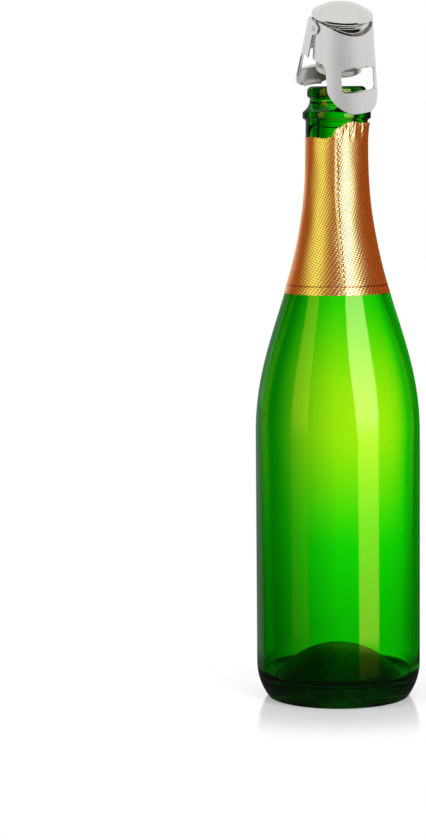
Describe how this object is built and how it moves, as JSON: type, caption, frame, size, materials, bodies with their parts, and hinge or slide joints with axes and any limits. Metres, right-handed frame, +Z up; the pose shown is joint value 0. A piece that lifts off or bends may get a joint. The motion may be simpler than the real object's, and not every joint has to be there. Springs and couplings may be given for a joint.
{
  "type": "champagne bottle with stopper",
  "caption": "Green glass sparkling wine bottle with a gold neck foil and a two-armed sprung stopper resting open on its mouth.",
  "frame": {"origin": "on the bottle's upright axis at the plane it stands on", "axes": "+Z up along the bottle's axis, +X to the right and +Y away from the camera of the picture"},
  "size_m": [0.081, 0.081, 0.3426],
  "materials": {
    "green_glass": "polished green bottle glass",
    "gold_foil": "embossed gold lacquered foil",
    "chrome": "bright plated, slightly satin",
    "steel": "bright drawn",
    "washer": "moulded",
    "seal_rubber": "moulded, matte"
  },
  "bodies": {
    "bottle": {"bottle_glass": "green_glass", "neck_foil": "gold_foil"},
    "stopper": {"stopper_cap": "chrome", "spring_housing": "chrome", "near_hinge_pin": "steel", "far_hinge_pin": "steel", "near_hinge_washer": "washer", "far_hinge_washer": "washer", "seal_spring": "steel"},
    "front_arm": {"front_arm": "chrome"},
    "rear_arm": {"rear_arm": "chrome"},
    "seal": {"seal_cup": "chrome", "seal_gasket": "seal_rubber", "guide_stem": "steel", "stem_clip": "steel"}
  },
  "joints": [
    {"name": "stopper_lift", "type": "slide", "parent": "bottle", "child": "stopper", "axis": [0, 0, 1], "range_m": [0, 0.12]},
    {"name": "front_arm_swing", "type": "hinge", "parent": "stopper", "child": "front_arm", "pos_m": [0.00255, -0.011, 0.3312], "axis": [-0.8324, -0.537, -0.137], "range_deg": [0, 7.6]},
    {"name": "rear_arm_swing", "type": "hinge", "parent": "stopper", "child": "rear_arm", "pos_m": [0.00255, -0.011, 0.3312], "axis": [0.8324, 0.537, 0.137], "range_deg": [-7.8, 8.2]},
    {"name": "seal_press", "type": "slide", "parent": "stopper", "child": "seal", "axis": [0.0687, -0.3453, 0.936], "range_m": [0, 0.0026], "stiffness_N_per_m": 1500, "springref_m": -0.002, "deforming": ["seal_spring"]}
  ]
}
